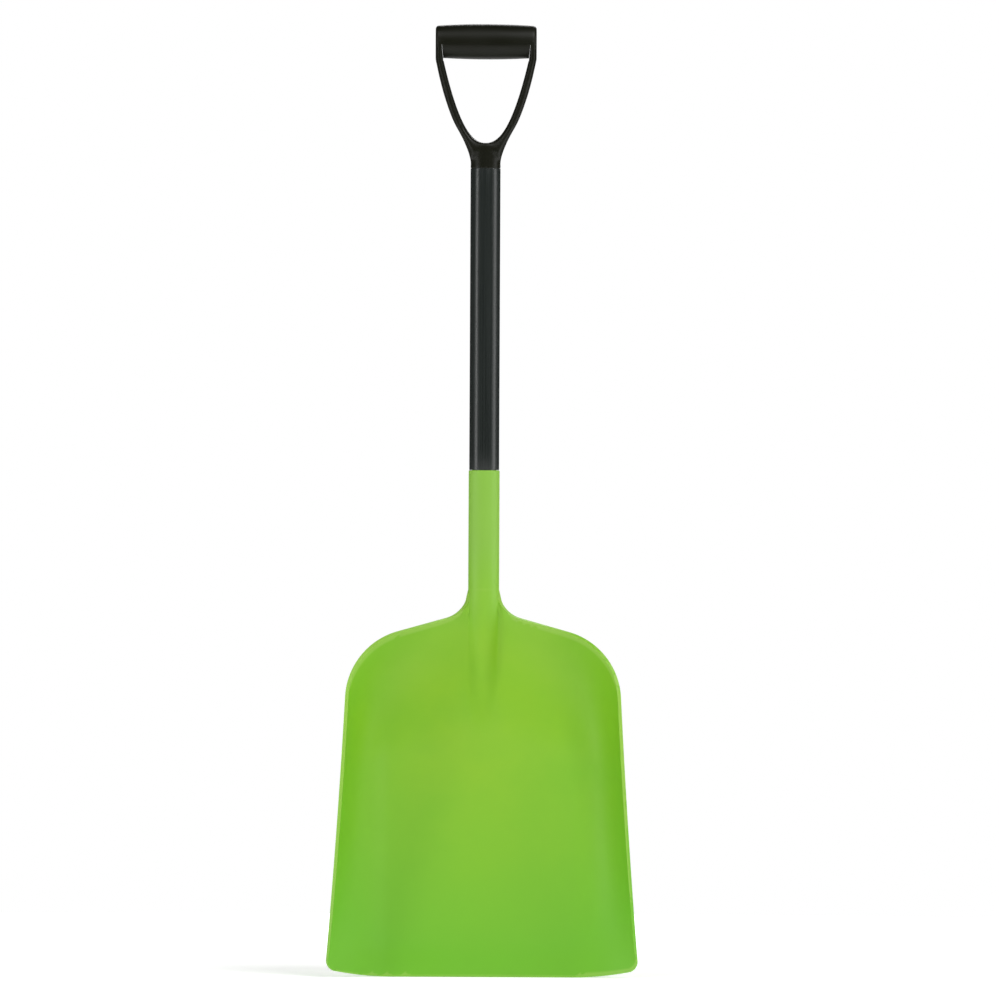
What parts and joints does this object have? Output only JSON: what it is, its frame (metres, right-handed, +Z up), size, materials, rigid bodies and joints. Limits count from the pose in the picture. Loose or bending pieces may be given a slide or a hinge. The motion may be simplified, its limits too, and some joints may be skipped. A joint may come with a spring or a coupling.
{
  "type": "snow shovel",
  "caption": "Snow shovel with a lime green moulded scoop blade, a black sleeved shaft and a black D-shaped hand grip",
  "frame": {"origin": "middle of the bottom of the bounding box; the lip's lowest edge is at z = 0", "axes": "+Z up along the shaft's axis; -Y the way the scooping face looks; +X to the right as seen from the scooping side"},
  "size_m": [0.3582, 0.1448, 1.1004],
  "materials": {
    "lime_polypropylene": "satin moulded",
    "black_polypropylene": "fine texture moulded",
    "black_sleeve": "satin extruded",
    "galvanised_steel": "zinc coated",
    "screw_steel": "zinc plated"
  },
  "bodies": {
    "root": {"blade": "lime_polypropylene", "blade_screw_upper": "screw_steel", "blade_screw_lower": "screw_steel", "core_tube": "galvanised_steel", "shaft_sleeve": "black_sleeve", "grip_yoke": "black_polypropylene", "grip_insert": "black_polypropylene", "grip_screw": "screw_steel"}
  },
  "joints": []
}
